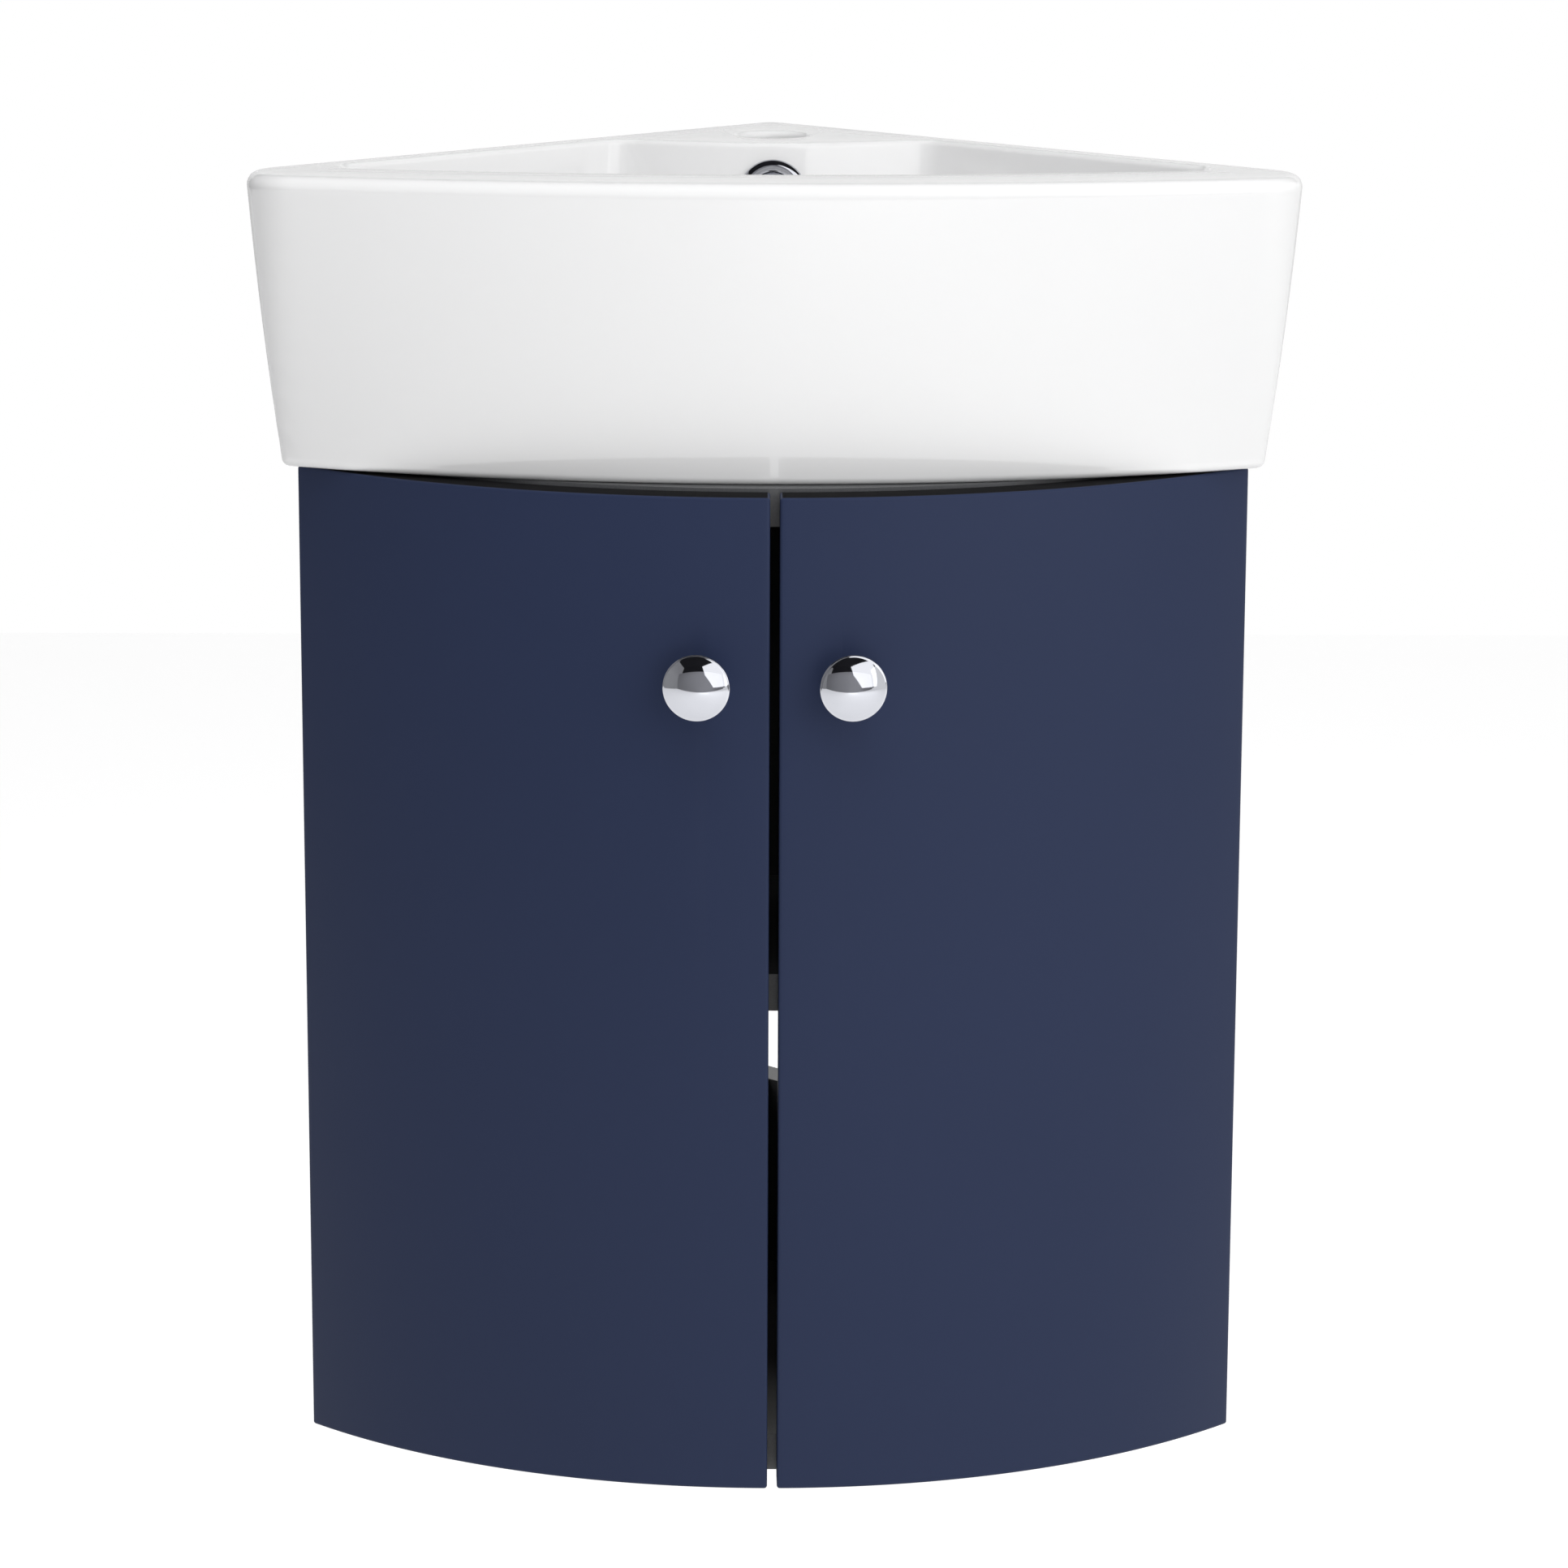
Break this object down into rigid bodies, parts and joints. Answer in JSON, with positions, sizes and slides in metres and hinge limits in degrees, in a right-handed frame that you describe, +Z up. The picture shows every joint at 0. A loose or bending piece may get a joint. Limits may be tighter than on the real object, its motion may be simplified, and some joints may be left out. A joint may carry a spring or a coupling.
{
  "type": "corner vanity unit",
  "caption": "Wall-hung corner vanity: a glazed ceramic corner basin on a quarter-round cabinet with bowed lacquered doors, round knobs and concealed hinges.",
  "frame": {"origin": "where the two room walls meet, level with the bottom edges of the doors", "axes": "+Z up, -Y out of the room corner towards the user, +X to the user's right"},
  "size_m": [0.4927, 0.3462, 0.6255],
  "materials": {
    "ceramic": "glossy white glaze",
    "chrome": "polished chrome plate",
    "navy_lacquer": "satin lacquer on moulded fibreboard",
    "carcass_board": "matt grey melamine-faced board",
    "steel": "nickel-plated pressed steel",
    "beech": "raw turned beech",
    "soft_plastic": "translucent soft pad"
  },
  "bodies": {
    "carcass": {"basin": "ceramic", "overflow_ring": "chrome", "top_board": "carcass_board", "shelf": "carcass_board", "bottom_board": "carcass_board", "side_panel_right": "carcass_board", "side_panel_left": "carcass_board", "corner_screws": "steel", "dowels": "beech", "shelf_pins": "steel", "hinge_plate_right_lower": "steel", "hinge_plate_right_upper": "steel", "hinge_plate_left_lower": "steel", "hinge_plate_left_upper": "steel", "plate_screws": "steel", "hinge_arm_right_lower": "steel", "hinge_arm_right_upper": "steel", "hinge_arm_left_lower": "steel", "hinge_arm_left_upper": "steel"},
    "right_door": {"door_right": "navy_lacquer", "knob_right": "chrome", "knob_screw_right": "steel", "hinge_cup_right_lower": "steel", "hinge_cup_right_upper": "steel", "cup_screws_right": "steel", "bumpers_right": "soft_plastic"},
    "left_door": {"door_left": "navy_lacquer", "knob_left": "chrome", "knob_screw_left": "steel", "hinge_cup_left_lower": "steel", "hinge_cup_left_upper": "steel", "cup_screws_left": "steel", "bumpers_left": "soft_plastic"}
  },
  "joints": [
    {"name": "right_door_hinge", "type": "hinge", "parent": "carcass", "child": "right_door", "pos_m": [0.22132, -0.23052, 0], "axis": [0, 0, 1], "range_deg": [0, 90]},
    {"name": "left_door_hinge", "type": "hinge", "parent": "carcass", "child": "left_door", "pos_m": [-0.22132, -0.23052, 0], "axis": [0, 0, -1], "range_deg": [0, 90]}
  ]
}
